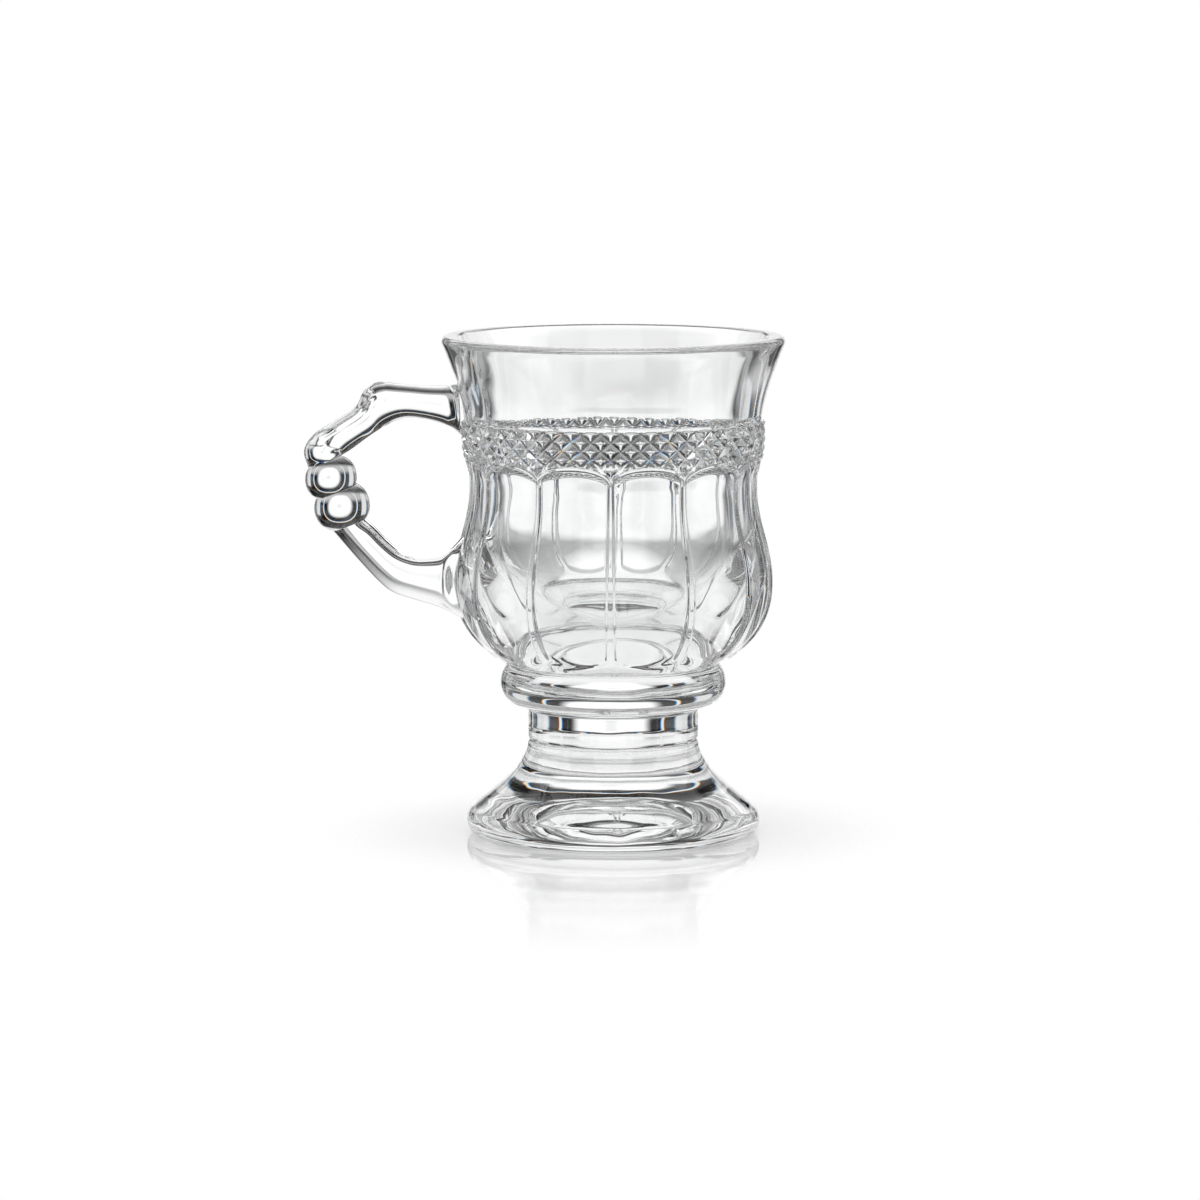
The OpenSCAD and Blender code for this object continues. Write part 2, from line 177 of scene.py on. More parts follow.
def finishMesh(name, mesh, sharpAngle=48.0):
    mesh.shade_smooth()
    mesh.set_sharp_from_angle(angle=math.radians(sharpAngle))
    piece = bpy.data.objects.new(name, mesh)
    bpy.context.scene.collection.objects.link(piece)
    return piece


def place(piece, node):
    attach(piece, "root")
    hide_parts(node)
    print(piece.name, "stands for", node, "with", len(piece.data.polygons), "faces")
    return piece


turnSteps = 240


def turn(name, profile, weldEnds=(True, True)):
    angles = np.linspace(0, 2 * math.pi, turnSteps, endpoint=False)
    around = np.stack([np.cos(angles), np.sin(angles)], axis=1)
    rings = [np.column_stack([around * r, np.full(turnSteps, z)]) for r, z in profile]
    poles = [(0, 0, profile[0][1]), (0, 0, profile[-1][1])]
    return skinRings(name, rings, [footGlass, weld], poles=poles, poleFinish=[int(end) for end in weldEnds])


def soften(profile, rounds=2):
    for _ in range(rounds):
        cut = [profile[0]]
        for a, b in zip(profile[:-1], profile[1:]):
            cut.append((0.75 * a[0] + 0.25 * b[0], 0.75 * a[1] + 0.25 * b[1]))
            cut.append((0.25 * a[0] + 0.75 * b[0], 0.25 * a[1] + 0.75 * b[1]))
        profile = cut + [profile[-1]]
    return profile


def smooth(x):
    x = np.clip(x, 0.0, 1.0)
    return x * x * (3 - 2 * x)


# Foot

footForm = {"edgeHeight": 2.4, "shoulderHeight": 4.9, "shoulderIn": 0.8, "restIn": 2.3, "restWidth": 2.3,
            "hollow": 3.6, "hollowPower": 2.0, "neckRadius": 16.4, "flarePower": 1.7, "stemRadius": 16.8,
            "crease": 0.4}
footSteps = {"hollow": 28, "edge": 10, "shoulder": 5, "flare": 26}


def footProfile(form):
    radius, top = footHigh.x, footHigh.z
    rest = radius - form["restIn"]
    hollowR = rest - form["restWidth"]
    shoulderR = radius - form["shoulderIn"]
    points = [(hollowR * t, form["hollow"] * (1 - t ** form["hollowPower"]))
              for t in np.linspace(0.02, 1, footSteps["hollow"])]
    for a in np.radians(np.linspace(0, 90, footSteps["edge"])):
        points.append((rest + form["restIn"] * math.sin(a), form["edgeHeight"] * (1 - math.cos(a))))
    for t in np.linspace(0.2, 1, footSteps["shoulder"]):
        points.append((radius - form["shoulderIn"] * t * t,
                       form["edgeHeight"] + (form["shoulderHeight"] - form["edgeHeight"]) * t))
    for t in np.linspace(0.04, 1, footSteps["flare"]):
        points.append((shoulderR - (shoulderR - form["stemRadius"]) * (1 - (1 - t) ** form["flarePower"]),
                       form["shoulderHeight"] + (top - form["crease"] - form["shoulderHeight"]) * t))
    points.append((form["neckRadius"], top))
    return points


place(turn("flaredFoot", soften(footProfile(footForm), 1), weldEnds=(False, True)), "foot")


# Stem and collar

stemForm = {"creaseRadius": 16.4, "radius": 16.8, "crease": 0.5, "topRadius": 17.7, "topFlare": 1.2}


def stemProfile(form):
    low, high = stemLow.z, stemHigh.z
    points = [(form["creaseRadius"], low), (form["radius"], low + form["crease"])]
    drum = high - low - form["crease"] - form["topFlare"]
    for t in np.linspace(0.15, 1, 6):
        points.append((form["radius"], low + form["crease"] + drum * t))
    for a in np.radians(np.linspace(15, 90, 6)):
        points.append((form["radius"] + (form["topRadius"] - form["radius"]) * (1 - math.cos(a)),
                       high - form["topFlare"] * (1 - math.sin(a))))
    return points


place(turn("drumStem", soften(stemProfile(stemForm))), "stem")

collarForm = {"footRadius": 17.7, "topRadius": 20.3, "middle": 4.2}


def collarProfile(form):
    low, high, radius = collarLow.z, collarHigh.z, collarHigh.x
    middle = low + form["middle"]
    points = [(form["footRadius"] + (radius - form["footRadius"]) * math.sin(a),
               low + form["middle"] * (1 - math.cos(a))) for a in np.radians(np.linspace(0, 90, 16))]
    points += [(form["topRadius"] + (radius - form["topRadius"]) * math.cos(a),
                middle + (high - middle) * math.sin(a)) for a in np.radians(np.linspace(6, 90, 15))]
    return points


place(turn("knopCollar", soften(collarProfile(collarForm), 1)), "collar")


# Bowl: heights are measured from the top of the collar

bowlForm = {"baseRadius": 20.3, "bellyRadius": 31.3, "bellyHeight": 16.3, "bellyPower": 2.4,
            "bellyRoot": 1 / 1.3, "waistRadius": 28.2, "waistRise": 18.4, "springRise": 2.6,
            "bandRadius": 29.4, "bandSwell": 0.7,
            "neckRadius": 29.1, "lip": 3.6, "lipRound": 1.0, "lipPower": 1.4, "neckWall": 3.9, "wall": 4.2,
            "floor": 3.0, "corner": 36.0, "cupPower": 2.6, "cupRoot": 0.45, "mouthPower": 1.75}
fluteForm = {"count": 12, "depth": 0.7, "ridgeStand": 0.55, "ridgeFoot": 1.2, "ridgeTop": 0.1, "flank": 0.7,
             "footLow": 1.2, "footRise": 3.4, "fade": 1.8, "archHeight": 3.0, "archPower": 2.2,
             "archRoot": 0.6, "moulding": 0.5,  # its rows: rise, share of even spacing, how far it stands out
             "mouldingRows": ((0.32, 0.0, -0.35), (0.45, 0.2, 0.12), (0.72, 0.6, 0.12), (0.95, 1.0, -0.2))}
diamondForm = {"perFlute": 4, "halfHeight": 1.7, "rows": 4, "depth": 0.41, "swell": 1.4, "gap": 0.1,
               "step": 0.5, "stepRows": ((0.25, 0.25), (1.0, 0.0))}  # share of the step, how far out
bowlSteps = {"perHalfDiamond": 7, "flute": 44, "spandrel": 5, "neck": 13, "lip": 10, "flare": 12, "cup": 26,
             "crowding": 0.7, "flutePower": 1.35, "skipped": 4, "cupPower": 2.2, "cupEnd": 0.04}

bowlBase, rimRadius = bowlLow.z, bowlHigh.x
waistZ = bowlForm["bellyHeight"] + bowlForm["waistRise"]
springZ = waistZ + bowlForm["springRise"]
archZ = springZ + fluteForm["archHeight"]
latticeZ = archZ + fluteForm["moulding"] + diamondForm["gap"]
bandZ = latticeZ + diamondForm["rows"] * diamondForm["halfHeight"]
neckZ = bandZ + diamondForm["step"]
lipZ = bowlHigh.z - bowlBase - bowlForm["lipRound"]
fluteAngle = 360.0 / fluteForm["count"]
latticeAngle = fluteAngle / diamondForm["perFlute"] / 2


def roundUp(u, power, root):
    return (1 - (1 - np.clip(u, 0, 1)) ** power) ** root


def leanOfLip():
    f = bowlForm
    lean = 0.4
    for _ in range(8):
        rise = rimRadius - f["lipRound"] * (1 - math.cos(lean)) - f["neckRadius"]
        lean = math.atan(f["lipPower"] * rise / (lipZ - f["lipRound"] * math.sin(lean) - neckZ))
    return lean


lipLean = leanOfLip()
lipRound = bowlForm["lipRound"]
lipEdges = (rimRadius - lipRound, rimRadius - bowlForm["lip"] + lipRound)  # middles of the two roundings
lipOuter = (lipEdges[0] + lipRound * math.cos(lipLean), lipZ - lipRound * math.sin(lipLean))
lipInner = (lipEdges[1] - lipRound * math.cos(lipLean), lipZ + lipRound * math.sin(lipLean))


def waistLine(h):
    f = bowlForm
    drawn = np.clip((h - f["bellyHeight"]) / f["waistRise"], 0, 1)
    return f["waistRadius"] + (f["bellyRadius"] - f["waistRadius"]) * (1 + np.cos(math.pi * drawn)) / 2


def outerRadius(h):
    f = bowlForm
    belly = f["baseRadius"] + (f["bellyRadius"] - f["baseRadius"]) * roundUp(
        h / f["bellyHeight"], f["bellyPower"], f["bellyRoot"])
    waist = waistLine(h)
    swell = np.clip((h - springZ) / (bandZ - springZ) / f["bandSwell"], 0, 1)
    band = f["waistRadius"] + (f["bandRadius"] - f["waistRadius"]) * np.sin(math.pi / 2 * swell)
    up = np.maximum(0, h - neckZ) / (lipOuter[1] - neckZ)
    neck = f["neckRadius"] + (lipOuter[0] - f["neckRadius"]) * up ** f["lipPower"]
    return np.select([h < f["bellyHeight"], h < springZ, h <= bandZ], [belly, waist, band], neck)


def innerRadius(h):
    f = bowlForm
    cup = f["neckRadius"] - f["neckWall"]
    waist = waistLine(h) - f["wall"]
    rise = smooth((h - waistZ) / (neckZ - waistZ))
    throat = waist + (cup - f["waistRadius"] + f["wall"]) * rise
    body = throat * roundUp((h - f["floor"]) / f["corner"], f["cupPower"], f["cupRoot"])
    up = np.maximum(0, h - neckZ) / (lipInner[1] - neckZ)
    mouth = cup + (lipInner[0] - cup) * up ** f["mouthPower"]
    return np.where(h < neckZ, body, mouth)


def fromMiddle(angle):
    return np.abs(angle % fluteAngle - fluteAngle / 2) / (fluteAngle / 2)


def archTop(angle):
    f = fluteForm
    return springZ + f["archHeight"] * (1 - fromMiddle(angle) ** f["archPower"]) ** f["archRoot"]


def flutedRadius(angle, h):
    f = fluteForm
    full = outerRadius(h)
    near = fluteAngle / 2 * (1 - fromMiddle(angle))
    across = full * np.radians(near)
    half = (f["ridgeFoot"] + (f["ridgeTop"] - f["ridgeFoot"]) * np.clip(h / springZ, 0, 1)) / 2
    ridge = smooth((half + f["flank"] - across) / f["flank"])
    panel = full - f["ridgeStand"] - (f["depth"] - f["ridgeStand"]) * np.cos(math.pi / 2 * fromMiddle(angle))
    start = f["footLow"] + f["footRise"] * (1 - np.sqrt(np.maximum(0, 1 - fromMiddle(angle) ** 2)))
    deep = smooth((h - start) / f["fade"])
    return full - (full - panel) * (1 - ridge) * deep


def latticeHeight(angle, h):
    u = angle / latticeAngle
    v = (h - latticeZ) / diamondForm["halfHeight"]
    fu, fv = u - np.floor(u), v - np.floor(v)
    even = (np.floor(u) + np.floor(v)) % 2 == 0
    up = np.where(even, np.abs(1 - fu - fv), np.abs(fu - fv))  # 0 in a groove, 1 on a tip
    return diamondForm["depth"] * (1 - 2 * (1 - up) ** diamondForm["swell"])


def ringAt(angle, radius, h):
    turned = np.radians(angle)
    h = np.broadcast_to(h, turned.shape)
    return np.column_stack([radius * np.cos(turned), radius * np.sin(turned), bowlBase + h])


def buildBowl():
    perFlute = bowlSteps["perHalfDiamond"] * diamondForm["perFlute"] * 2
    count = perFlute * fluteForm["count"]
    index = np.arange(count)
    even = index * fluteAngle / perFlute
    q = (index % perFlute) / perFlute
    crowding = fluteAngle * bowlSteps["crowding"]
    crowded = even - crowding * np.sin(2 * math.pi * q) / (2 * math.pi)  # more points at the ridges
    rings = []
    folds = {}
    for s in np.linspace(0, 1, bowlSteps["flute"]) ** bowlSteps["flutePower"]:
        h = s * archTop(crowded)
        rings.append(ringAt(crowded, flutedRadius(crowded, h), h))
    for rise, mix, proud in fluteForm["mouldingRows"]:
        angle = crowded + (even - crowded) * mix
        h = archTop(angle) + rise
        rings.append(ringAt(angle, outerRadius(h) + proud, h))
    n = bowlSteps["perHalfDiamond"]
    edge = archTop(even) + fluteForm["mouldingRows"][-1][0]
    skipped = bowlSteps["skipped"]  # the arches take the place of the lowest part of the diamonds
    first = latticeZ + diamondForm["halfHeight"] * skipped / n
    for t in np.linspace(0, 1, bowlSteps["spandrel"], endpoint=False)[1:]:
        h = edge + (first - edge) * t
        rings.append(ringAt(even, outerRadius(h) + latticeHeight(even, h), h))
    for i in range(skipped, diamondForm["rows"] * n + 1):
        h = latticeZ + i * diamondForm["halfHeight"] / n
        cellRow = (i - 1) // n
        cellColumn = index // n
        if i > skipped:
            folds[len(rings) - 1] = (cellColumn + cellRow) % 2 == 0
        rings.append(ringAt(even, outerRadius(np.full(count, h)) + latticeHeight(even, h - 1e-6), h))
    for rise, proud in diamondForm["stepRows"]:
        radius = bowlForm["neckRadius"] + np.full(count, proud)
        rings.append(ringAt(even, radius, bandZ + diamondForm["step"] * rise))
    for t in np.linspace(0, 1, bowlSteps["neck"])[1:]:
        h = neckZ + (lipOuter[1] - neckZ) * t
        rings.append(ringAt(even, outerRadius(np.full(count, h)), h))
    for a in np.linspace(-lipLean, math.pi / 2, bowlSteps["lip"])[1:]:
        radius = lipEdges[0] + lipRound * math.cos(a)
        rings.append(ringAt(even, np.full(count, radius), lipZ + lipRound * math.sin(a)))
    for a in np.linspace(math.pi / 2, math.pi - lipLean, bowlSteps["lip"] - 2):
        radius = lipEdges[1] + lipRound * math.cos(a)
        rings.append(ringAt(even, np.full(count, radius), lipZ + lipRound * math.sin(a)))
    mouth = len(rings)
    for t in np.linspace(1, 0, bowlSteps["flare"])[1:]:
        h = neckZ + (lipInner[1] - neckZ) * t
        rings.append(ringAt(even, innerRadius(np.full(count, h)), h))
    for t in np.linspace(1, bowlSteps["cupEnd"], bowlSteps["cup"])[1:]:
        h = bowlForm["floor"] + (neckZ - bowlForm["floor"]) * t ** bowlSteps["cupPower"]
        rings.append(ringAt(even, innerRadius(np.full(count, h)), h))
    poles = [(0, 0, bowlBase), (0, 0, bowlBase + bowlForm["floor"])]
    rowFinish = [2 if row >= mouth else 0 for row in range(len(rings))]
    return skinRings("flutedBowl", rings, [clearGlass, weld, innerGlass], rowFinish, poles, (1, 2), folds)


bowl = buildBowl()
print("bowl built")


# Handle: places are (distance behind the axis, height)

beadForm = {"reach": 55.4, "height": 69.9, "lean": 21.0, "upperRadius": 5.2, "lowerRadius": 5.6, "gap": 6.0,
            "above": 3.4, "below": 3.9, "core": 1.0, "around": 96, "rows": 33}
leanUp = np.array([math.sin(math.radians(beadForm["lean"])), math.cos(math.radians(beadForm["lean"]))])
leanOut = np.array([leanUp[1], -leanUp[0]])
upperBead = np.array([beadForm["reach"], beadForm["height"]])
lowerBead = upperBead - beadForm["gap"] * leanUp
beadSeam = beadForm["gap"] * beadForm["upperRadius"] / (beadForm["upperRadius"] + beadForm["lowerRadius"])


def beadWidth(radius, h):
    return beadForm["core"] + math.sqrt((radius - beadForm["core"]) ** 2 - h * h)


def buildBead(name, centre, radius, below, above):
    angles = np.linspace(0, 2 * math.pi, beadForm["around"], endpoint=False)
    rings = []
    for t in np.linspace(0, 1, beadForm["rows"]):
        h = -below + (below + above) * t
        width = beadWidth(radius, h)
        spots = centre + h * leanUp + np.outer(width * np.cos(angles), leanOut)
        ring = np.column_stack([-spots[:, 0], width * np.sin(angles), spots[:, 1]])
        rings.append(ring[::-1])
    poles = []
    for h in (-below, above):
        spot = centre + h * leanUp
        poles.append((-spot[0], 0, spot[1]))
    return skinRings(name, rings, [clearGlass, weld], poles=poles, poleFinish=(1, 1))


place(buildBead("upperBead", upperBead, beadForm["upperRadius"], beadSeam, beadForm["above"]),
      "handle_upper_bead")
place(buildBead("lowerBead", lowerBead, beadForm["lowerRadius"], beadForm["below"],
                beadForm["gap"] - beadSeam), "handle_lower_bead")


def discEnds(centre, h, radius):
    middle = centre + h * leanUp
    width = beadWidth(radius, h)
    return tuple(middle + width * leanOut), tuple(middle - width * leanOut)


# An arm runs between an outer and an inner edge, each through a few points
armForm = {"depth": 7.2, "squareness": 2.4, "around": 56, "rootPlace": (1.4, 3.5), "rootSlope": 0.85,
           "rootBlend": 0.2, "beadBlend": 1.6, "steps": 10, "sink": 1.0, "groovePlace": 0.3,
           "grooveWidth": 0.55, "grooveDepth": 0.8, "grooveFace": 0.7}
topOuter, topInner = discEnds(upperBead, beadForm["above"], beadForm["upperRadius"])
footOuter, footInner = discEnds(lowerBead, -beadForm["below"], beadForm["lowerRadius"])
upperEdges = {
    "outer": [(29.0, 88.7), (32.5, 88.2), (37.0, 88.1), (42.0, 88.5), (46.0, 88.8), (48.8, 87.2),
              (50.6, 83.9), (54.5, 81.3), (58.8, 78.5), (60.7, 75.3), topOuter],
    "inner": [(28.6, 77.4), (31.6, 79.8), (35.5, 81.2), (39.8, 81.8), (42.6, 81.2), (44.6, 80.2),
              (46.6, 79.0), (48.6, 77.6), (50.6, 76.1), (51.9, 75.2), topInner],
    "swell": [0.5] + [0] * 10,
    "groove": [0, 0, 0, 0, 0, 1, 1, 1, 1, 0.3, 0],
    "boss": ((47.7, 85.2), 1.5, 0.7)}  # the knuckle: middle, width, height
lowerEdges = {
    "outer": [(30.0, 42.3), (32.0, 43.4), (35.0, 44.7), (39.0, 45.9), (43.2, 47.3), (46.0, 49.4),
              (49.6, 53.2), (53.2, 57.3), footOuter],
    "inner": [(30.0, 58.0), (31.9, 56.0), (34.0, 55.1), (36.6, 54.8), (39.2, 54.9), (42.0, 55.9),
              (44.6, 58.0), (46.9, 60.4), footInner],
    "swell": [0.5] + [0] * 8,
    "groove": [0] * 9,
    "boss": None}


def through(points, steps):
    points = np.array(points, float).reshape(len(points), -1)
    ends = np.vstack([2 * points[0] - points[1], points, 2 * points[-1] - points[-2]])
    curve = []
    for i in range(1, len(ends) - 2):
        a, b, c, d = ends[i - 1:i + 3]
        for t in np.linspace(0, 1, steps, endpoint=False):
            curve.append(0.5 * (2 * b + (c - a) * t + (2 * a - 5 * b + 4 * c - d) * t ** 2
                                + (3 * b - a - 3 * c + d) * t ** 3))
    return np.array(curve + [points[-1]])


def armOutline(half, depth, groove, roundness):
    turns = np.linspace(0, 2 * math.pi, armForm["around"], endpoint=False)
    side, face = np.cos(turns), np.sin(turns)
    power = 2 / armForm["squareness"]
    x = half * np.sign(side) * np.abs(side) ** power
    y = depth * np.sign(face) * np.abs(face) ** power
    cut = np.exp(-((x / half - armForm["groovePlace"]) * half / armForm["grooveWidth"]) ** 2)
    y -= np.sign(y) * groove * armForm["grooveDepth"] * cut * (np.abs(y) > armForm["grooveFace"] * depth)
    outline = np.column_stack([x, y])
    circle = half * np.column_stack([side, face])
    return outline + (circle - outline) * roundness


def buildArm(name, edges, surface):
    steps = armForm["steps"]
    outer, inner = through(edges["outer"], steps), through(edges["inner"], steps)
    last = len(outer) - 1
    stations = np.arange(len(edges["outer"])) * steps
    swell = np.interp(np.arange(last + 1), stations, edges["swell"])
    groove = np.interp(np.arange(last + 1), stations, edges["groove"])
    paces = np.linalg.norm(np.diff((outer + inner) / 2, axis=0), axis=1)
    reach = np.concatenate([[0], np.cumsum(paces)])  # distance along the arm from its root
    # the faces draw in just before the wall of the bowl
    near, far = [armForm["rootBlend"] * np.log1p(np.exp((start - reach) / armForm["rootBlend"]))
                 for start in armForm["rootPlace"]]
    swell -= armForm["rootSlope"] * (far - near)
    blend = armForm["beadBlend"] * steps
    rings = []
    for i in range(last + 1):
        middle, half = (outer[i] + inner[i]) / 2, np.linalg.norm(outer[i] - inner[i]) / 2
        across = (outer[i] - inner[i]) / (2 * half)
        toBead = smooth((i - (last - blend)) / blend)  # round where it meets the bead
        depth = (armForm["depth"] / 2 + swell[i]) * (1 - toBead) + half * toBead
        outline = armOutline(half, depth, groove[i], toBead)
        spots = middle + np.outer(outline[:, 0], across)
        if edges["boss"]:
            centre, width, rise = edges["boss"]
            lift = rise * np.exp(-np.sum((spots - np.array(centre)) ** 2, axis=1) / width ** 2)
            outline[:, 1] += np.sign(outline[:, 1]) * lift
        rings.append(np.column_stack([-spots[:, 0], outline[:, 1], spots[:, 1]]))
    # the first two rings are set on the wall of the bowl and just inside it
    onWall, inWall = [], []
    for start, ahead in zip(rings[0], rings[2]):
        way = Vector(start) - Vector(ahead)
        way.normalize()
        hit = surface.ray_cast(Vector(ahead) * mm, way)[0]
        spot = (np.array(hit) / mm) if hit is not None else start
        onWall.append(spot)
        inWall.append(spot + armForm["sink"] * np.array(way))
    body = [inWall, onWall] + rings[2:]
    plug = [inWall, onWall, np.array(onWall) + (np.array(onWall) - np.array(inWall))]
    hub = np.mean(inWall, axis=0)
    spot = (np.array(edges["outer"][-1]) + np.array(edges["inner"][-1])) / 2
    end = (-spot[0], 0, spot[1])
    finishes = [clearGlass, weld]
    arm = skinRings(name, body, finishes, [1] + [0] * len(body), (hub, end), (1, 1))
    cutter = skinRings(name + "Plug", plug, finishes, [1, 1], (hub, np.mean(plug[-1], axis=0)), (1, 1))
    return arm, cutter


bowlSurface = BVHTree.FromPolygons([v.co.copy() for v in bowl.data.vertices],
                                   [tuple(p.vertices) for p in bowl.data.polygons])
upperArm, upperPlug = buildArm("upperArm", upperEdges, bowlSurface)
lowerArm, lowerPlug = buildArm("lowerArm", lowerEdges, bowlSurface)


def cutPocket(piece, plug):
    modifier = piece.modifiers.new("pocket", "BOOLEAN")
    modifier.operation = "DIFFERENCE"
    modifier.solver = "EXACT"
    modifier.material_mode = "TRANSFER"
    modifier.object = plug
    bpy.context.view_layer.update()
    shaped = piece.evaluated_get(bpy.context.evaluated_depsgraph_get())
    mesh = bpy.data.meshes.new_from_object(shaped)
    piece.modifiers.clear()
    piece.data = mesh
    bpy.data.objects.remove(plug)


cutPocket(bowl, upperPlug)
cutPocket(bowl, lowerPlug)
print("bowl pockets cut,", [m.name for m in bowl.data.materials])
place(bowl, "bowl")
place(upperArm, "handle_upper_arm")
place(lowerArm, "handle_lower_arm")


# Studio: white sweep, soft light from all round, with darker gaps for the glass to pick up

# pairs of angles: where it is still bright, and where it is dark
studio = {"gapLight": 0.01, "boxHeight": -6.0, "boxRound": 2.6, "box": (14.5, 20.5), "boxMiddle": (1.5, 4.5),
          "boxDim": 0.9, "boxRing": 1.1, "frame": 27.0, "frameWidth": (0.5, 1.5), "frameLight": 0.85,
          "strip": (6.0, 9.5), "stripLight": 0.8, "stripTop": (10.0, 15.0), "stripFoot": (-23.0, -31.0),
          "table": (-18.0, -9.0), "tableLight": 0.5, "ceiling": (44.0, 37.0), "fringe": 0.3,
          "keyLow": (20.0, 14.0), "keyHigh": (48.0, 58.0), "keySide": (24.0, 32.0), "keyLight": 2.0,
          "wander": (6.0, 9.0), "wanderLight": 0.3}  # wander counts the bounces of a ray


def buildWorld():
    world = bpy.data.worlds.new("studioWorld")
    bpy.context.scene.world = world
    world.use_nodes = True
    nodes, links = world.node_tree.nodes, world.node_tree.links
    nodes.clear()

    def math2(operation, a, b=None):
        node = nodes.new("ShaderNodeMath")
        node.operation = operation
        for socket, value in zip(node.inputs, (a, b)):
            if value is None:
                continue
            if isinstance(value, (int, float)):
                socket.default_value = value
            else:
                links.new(value, socket)
        return node.outputs["Value"]

    def ramp(value, low, high):
        node = nodes.new("ShaderNodeMapRange")
        node.interpolation_type = "SMOOTHSTEP"
        node.inputs["From Min"].default_value = low
        node.inputs["From Max"].default_value = high
        links.new(value, node.inputs["Value"])
        return node.outputs["Result"]

    way = nodes.new("ShaderNodeTexCoord").outputs["Generated"]
    split = nodes.new("ShaderNodeSeparateXYZ")
    links.new(way, split.inputs["Vector"])
    aside, along = math2("ABSOLUTE", split.outputs["X"]), math2("ABSOLUTE", split.outputs["Y"])
    turned = math2("ARCTAN2", math2("MINIMUM", aside, along), math2("MAXIMUM", aside, along))
    raised = math2("ARCSINE", split.outputs["Z"])
    # four light boxes with rounded corners, strips between them, a ceiling and a dim table
    off = math2("ABSOLUTE", math2("SUBTRACT", raised, math.radians(studio["boxHeight"])))
    off = math2("ADD", math2("POWER", off, studio["boxRound"]), math2("POWER", turned, studio["boxRound"]))
    off = math2("POWER", off, 1 / studio["boxRound"])

    def within(angle, pair, shift=0.0):
        bright, dark = [math.radians(limit + shift) for limit in pair]
        return ramp(angle, dark, bright)

    middle = math2("MULTIPLY", within(off, studio["boxMiddle"]), studio["boxRing"] - studio["boxDim"])
    glow = math2("SUBTRACT", studio["boxRing"], middle)
    walls = math2("MULTIPLY", within(raised, studio["stripTop"]), within(raised, studio["stripFoot"]))
    walls = math2("MULTIPLY", walls, studio["stripLight"])
    table = math2("MULTIPLY", within(raised, studio["table"]), within(raised, studio["stripFoot"]))
    table = math2("MULTIPLY", table, studio["tableLight"])
    around = math2("MAXIMUM", table, within(raised, studio["ceiling"]))
    around = math2("MAXIMUM", around, math2("MULTIPLY", within(off, studio["box"]), glow))
    wallFoot = math2("MULTIPLY", within(raised, studio["stripFoot"]), studio["frameLight"])
    fromCorner = math2("SUBTRACT", math.pi / 4, turned)

    def light(shift):
        edge = math2("ABSOLUTE", math2("SUBTRACT", off, math.radians(studio["frame"] + shift)))
        edge = math2("MULTIPLY", within(edge, studio["frameWidth"]), wallFoot)
        strip = math2("MULTIPLY", within(fromCorner, studio["strip"], -shift), walls)
        lit = math2("MAXIMUM", math2("MAXIMUM", edge, strip), around)
        return math2("ADD", math2("MULTIPLY", lit, 1 - studio["gapLight"]), studio["gapLight"])

    shade = nodes.new("ShaderNodeCombineColor")  # edges of the light part a little into colours
    for channel, side in zip(("Red", "Green", "Blue"), (1, 0, -1)):
        links.new(light(side * studio["fringe"]), shade.inputs[channel])
    ray = nodes.new("ShaderNodeLightPath")
    # a broad key light on each side, seen only in reflections
    key = math2("MULTIPLY", within(raised, studio["keyLow"]), within(raised, studio["keyHigh"]))
    key = math2("MULTIPLY", key, within(turned, studio["keySide"]))
    mirrored = math2("SUBTRACT", ray.outputs["Is Glossy Ray"], ray.outputs["Is Transmission Ray"])
    key = math2("MULTIPLY", math2("MULTIPLY", key, math2("MAXIMUM", mirrored, 0.0)), studio["keyLight"])
    bright = nodes.new("ShaderNodeVectorMath")
    bright.operation = "MAXIMUM"
    links.new(shade.outputs["Color"], bright.inputs[0])
    links.new(key, bright.inputs[1])
    # blurred reflections, as on the table, see the plain white
    throughGlass = math2("MAXIMUM", ray.outputs["Is Singular Ray"], ray.outputs["Is Transmission Ray"])
    # the table is lit evenly, through the glass too
    throughGlass = math2("MULTIPLY", throughGlass, math2("LESS_THAN", ray.outputs["Diffuse Depth"], 0.5))
    settled = nodes.new("ShaderNodeMix")  # light that wanders long in the wall comes out as one tone
    settled.data_type = "RGBA"
    settled.inputs["B"].default_value = (studio["wanderLight"],) * 3 + (1.0,)
    links.new(ramp(ray.outputs["Ray Depth"], *studio["wander"]), settled.inputs["Factor"])
    links.new(bright.outputs["Vector"], settled.inputs["A"])
    mix = nodes.new("ShaderNodeMix")
    mix.data_type = "RGBA"
    mix.inputs["A"].default_value = (1.0, 1.0, 1.0, 1.0)
    links.new(throughGlass, mix.inputs["Factor"])
    links.new(settled.outputs["Result"], mix.inputs["B"])
    background = nodes.new("ShaderNodeBackground")
    links.new(mix.outputs["Result"], background.inputs["Color"])
    output = nodes.new("ShaderNodeOutputWorld")
    links.new(background.outputs["Background"], output.inputs["Surface"])


# distances from the axis in metres, each pair from where a change begins to where it ends
# the glow of the table under the glass is painted light, standing in for the light that the glass lets
# through
tableForm = {"radius": 0.14, "steps": 128, "fadeStart": 0.045, "lit": (0.033, 0.06), "under": (0.022, 0.03),
             "underGlass": 0.85, "colour": 0.97, "roughness": 0.07}


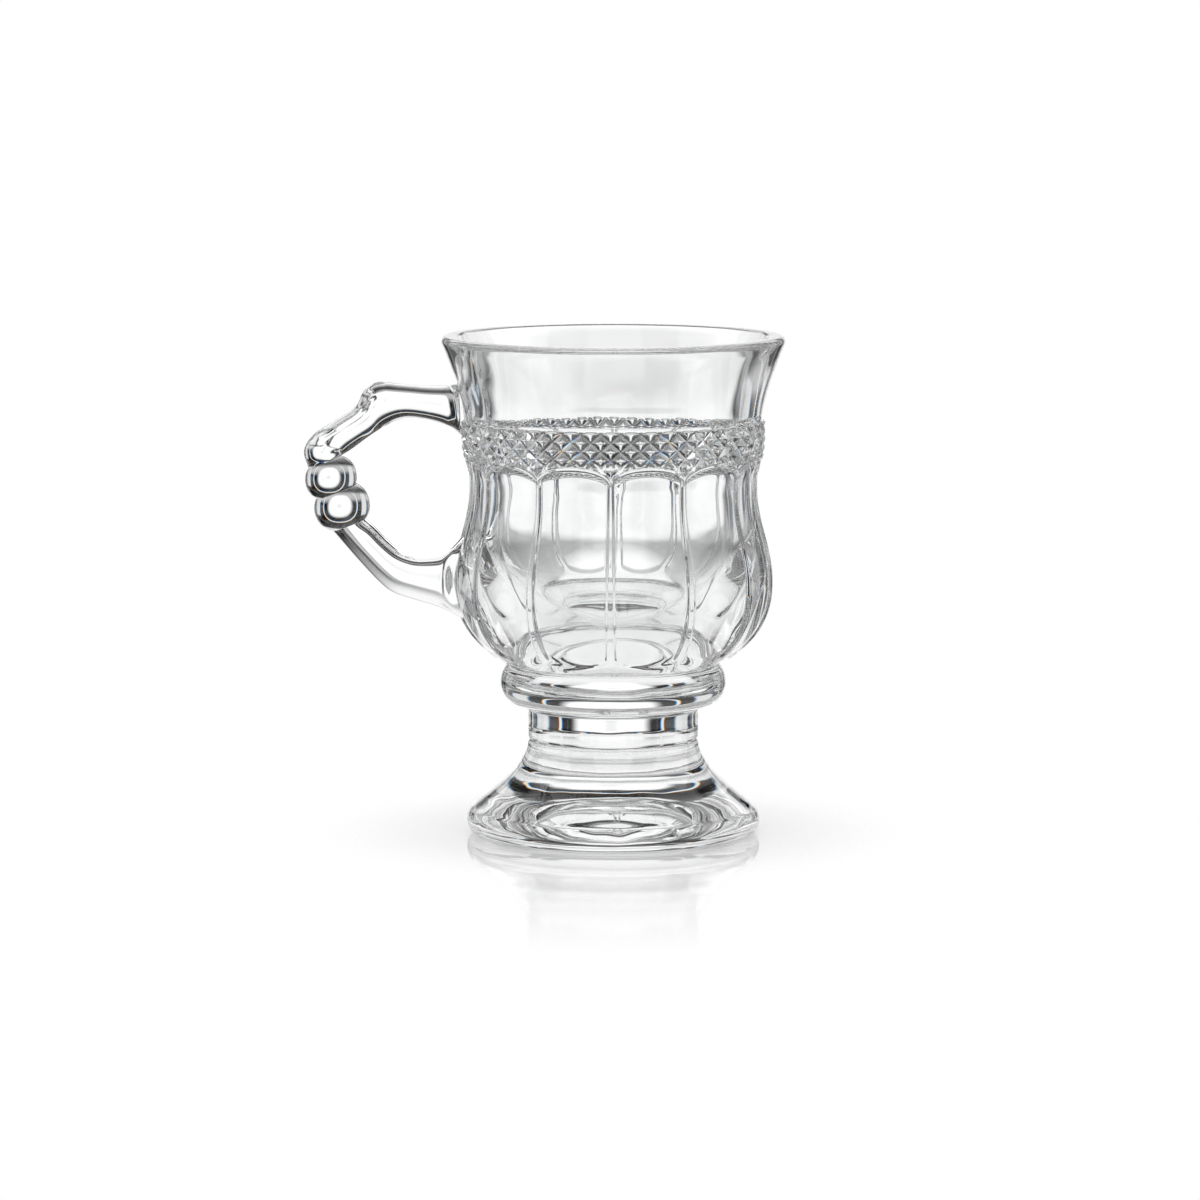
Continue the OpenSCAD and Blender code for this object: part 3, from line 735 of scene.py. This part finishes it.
def buildFloor():
    angles = np.linspace(0, 2 * math.pi, tableForm["steps"], endpoint=False)
    rim = [(tableForm["radius"] * math.cos(a), tableForm["radius"] * math.sin(a), 0) for a in angles]
    mesh = bpy.data.meshes.new("tableTop")
    mesh.from_pydata(rim, [], [tuple(range(tableForm["steps"]))])
    floor = bpy.data.objects.new("tableTop", mesh)
    bpy.context.scene.collection.objects.link(floor)
    material = bpy.data.materials.new("glossWhite")
    material.use_nodes = True
    nodes, links = material.node_tree.nodes, material.node_tree.links
    shader = nodes["Principled BSDF"]
    shader.inputs["Specular IOR Level"].default_value = 0.0
    shader.inputs["Coat Weight"].default_value = 1.0
    shader.inputs["Coat Roughness"].default_value = tableForm["roughness"]
    shader.inputs["Emission Color"].default_value = (1.0, 1.0, 1.0, 1.0)
    distance = nodes.new("ShaderNodeVectorMath")
    distance.operation = "LENGTH"
    links.new(nodes.new("ShaderNodeTexCoord").outputs["Object"], distance.inputs[0])

    def fromAxis(ends, values=(0.0, 1.0)):
        node = nodes.new("ShaderNodeMapRange")
        node.interpolation_type = "SMOOTHSTEP"
        node.inputs["From Min"].default_value, node.inputs["From Max"].default_value = ends
        node.inputs["To Min"].default_value, node.inputs["To Max"].default_value = values
        links.new(distance.outputs["Value"], node.inputs["Value"])
        return node.outputs["Result"]

    fade = fromAxis((tableForm["radius"], tableForm["fadeStart"]))  # the table melts into the white backdrop
    links.new(fade, shader.inputs["Alpha"])
    lit = fromAxis(tableForm["lit"])  # lit evenly away from the glass, so the shadow stays beside it
    under = fromAxis(tableForm["under"], (tableForm["underGlass"], 0.0))  # painted glow under the glass, in place of the light that the glass lets through
    glow = nodes.new("ShaderNodeMath")
    glow.operation = "MAXIMUM"
    links.new(lit, glow.inputs[0])
    links.new(under, glow.inputs[1])
    links.new(glow.outputs["Value"], shader.inputs["Emission Strength"])
    tone = nodes.new("ShaderNodeMapRange")
    tone.inputs["To Min"].default_value = tableForm["colour"]
    tone.inputs["To Max"].default_value = 0.0
    links.new(glow.outputs["Value"], tone.inputs["Value"])
    links.new(tone.outputs["Result"], shader.inputs["Base Color"])
    mesh.materials.append(material)


buildWorld()
buildFloor()
print("studio ready")


# Camera at the photograph's angle; its numbers are for a square frame of 1200 pixels

photo = {"pixels": 1200.0, "focal": 5717.0, "distance": 1116.0, "height": 181.2, "pitch": 6.914,
         "azimuth": 1.0, "axisPixel": 613.35, "sensor": 36.0, "clipEnd": 100.0}
lightPaths = {"bounces": 20, "seeThrough": 48}


def buildCamera():
    data = bpy.data.cameras.new("photoCamera")
    camera = bpy.data.objects.new("photoCamera", data)
    bpy.context.scene.collection.objects.link(camera)
    data.sensor_width = photo["sensor"]
    data.lens = data.sensor_width * photo["focal"] / photo["pixels"]
    data.clip_end = photo["clipEnd"]
    turned = math.radians(photo["azimuth"])
    distance = photo["distance"] * mm
    aside = (photo["axisPixel"] - photo["pixels"] / 2) / photo["focal"] * distance
    camera.location = (distance * math.sin(turned), -distance * math.cos(turned), photo["height"] * mm)
    drop = distance * math.tan(math.radians(photo["pitch"]))
    aim = Vector((-aside * math.cos(turned), -aside * math.sin(turned), photo["height"] * mm - drop))
    camera.rotation_euler = (aim - camera.location).to_track_quat("-Z", "Y").to_euler()
    bpy.context.scene.camera = camera


buildCamera()
scene = bpy.context.scene
scene.view_settings.view_transform = "Standard"
scene.cycles.max_bounces = lightPaths["bounces"]
scene.cycles.transmission_bounces = lightPaths["bounces"]
scene.cycles.glossy_bounces = lightPaths["bounces"]
scene.cycles.transparent_max_bounces = lightPaths["seeThrough"]
print("camera ready")
